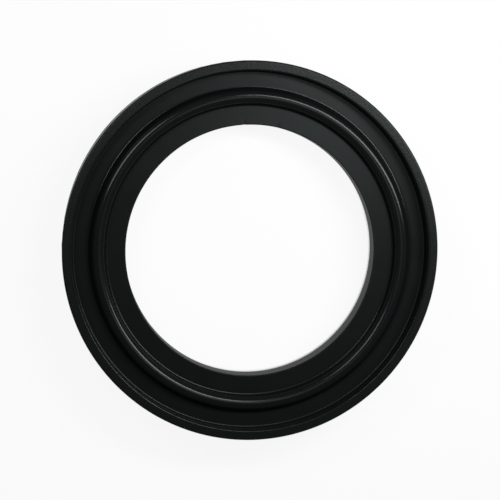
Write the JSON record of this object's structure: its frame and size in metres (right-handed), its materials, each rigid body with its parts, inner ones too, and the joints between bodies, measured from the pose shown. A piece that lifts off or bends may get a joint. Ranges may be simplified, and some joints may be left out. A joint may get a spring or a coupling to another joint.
{
  "type": "sanitary clamp gasket",
  "caption": "Flat black rubber ring with a half-round bead on each face and a raised outer lip, which seals two clamped sanitary pipe ferrules.",
  "frame": {"origin": "centre of the bore, on the mid-plane between the two faces", "axes": "+Z along the bore's axis, out of the upper face; the ring lies in the XY plane"},
  "size_m": [0.0536, 0.0536, 0.0074],
  "materials": {
    "epdm_rubber": "satin moulded"
  },
  "bodies": {
    "root": {"gasket": "epdm_rubber"}
  },
  "joints": []
}
